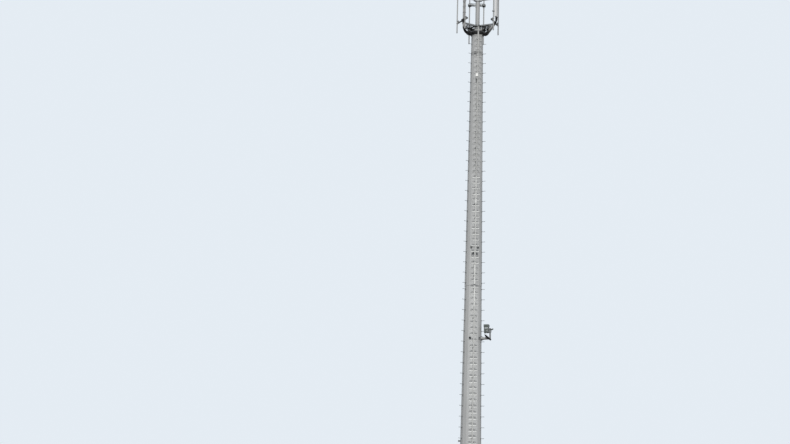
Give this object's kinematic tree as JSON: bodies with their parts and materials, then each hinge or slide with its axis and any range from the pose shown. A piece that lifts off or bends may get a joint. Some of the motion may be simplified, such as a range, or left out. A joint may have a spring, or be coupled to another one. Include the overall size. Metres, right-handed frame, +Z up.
{
  "type": "monopole antenna mast",
  "caption": "Tall tapered steel monopole with a front ladder, side step pegs, a bracketed equipment box and a three-sector antenna head.",
  "frame": {"origin": "centre of the foot flange's underside, at ground level", "axes": "+Z up along the pole; -Y is the front, where the ladder is; +X is the side with the equipment arm"},
  "size_m": [2.0992, 2.0458, 28.214],
  "materials": {
    "galvanised_shaft": "dull galvanised",
    "galvanised_dark": "weathered galvanised",
    "ladder_steel": "galvanised",
    "black_rubber": "matt",
    "radome": "matt",
    "unit_paint": "matt",
    "pale_plate": "satin",
    "window_pane": "clear"
  },
  "bodies": {
    "root": {"base_flange": "galvanised_dark", "base_gussets": "galvanised_shaft", "lower_shaft": "galvanised_shaft", "upper_shaft": "galvanised_shaft", "hand_hole_frame": "galvanised_shaft", "hand_hole_cover": "galvanised_shaft", "ladder_rail_lower": "ladder_steel", "ladder_rail_upper": "ladder_steel", "ladder_rungs_lower": "ladder_steel", "ladder_rungs_upper": "ladder_steel", "ladder_brackets_lower": "galvanised_dark", "ladder_brackets_upper": "galvanised_dark", "rail_joints": "ladder_steel", "step_pegs_left": "galvanised_dark", "step_pegs_right": "galvanised_dark", "peg_bosses_left": "galvanised_dark", "peg_bosses_right": "galvanised_dark", "port_rings": "galvanised_dark", "port_boots": "black_rubber", "blank_plate": "pale_plate", "earth_lug": "galvanised_dark", "side_plate": "galvanised_dark", "side_arm": "galvanised_shaft", "side_post": "galvanised_dark", "post_cap": "black_rubber", "unit_clamps": "galvanised_dark", "unit_box": "unit_paint", "unit_hood": "unit_paint", "unit_window": "window_pane", "unit_conduit": "black_rubber", "stub_lamp": "unit_paint", "cable_boot": "black_rubber", "top_plate": "galvanised_dark", "plate_studs": "galvanised_dark", "mast_base": "galvanised_dark", "mast_gussets": "galvanised_dark", "mast": "galvanised_shaft", "mast_cap": "galvanised_shaft", "arm_hubs": "galvanised_dark", "sector_arms": "galvanised_dark", "arm_plates": "galvanised_dark", "sector_bars": "galvanised_dark", "crossover_plates": "galvanised_dark", "antenna_pipes": "galvanised_shaft", "pipe_caps": "black_rubber", "tall_panel": "radome", "short_panel": "radome", "panel_brackets": "galvanised_dark", "jumpers_right": "black_rubber", "jumpers_left": "black_rubber"}
  },
  "joints": []
}
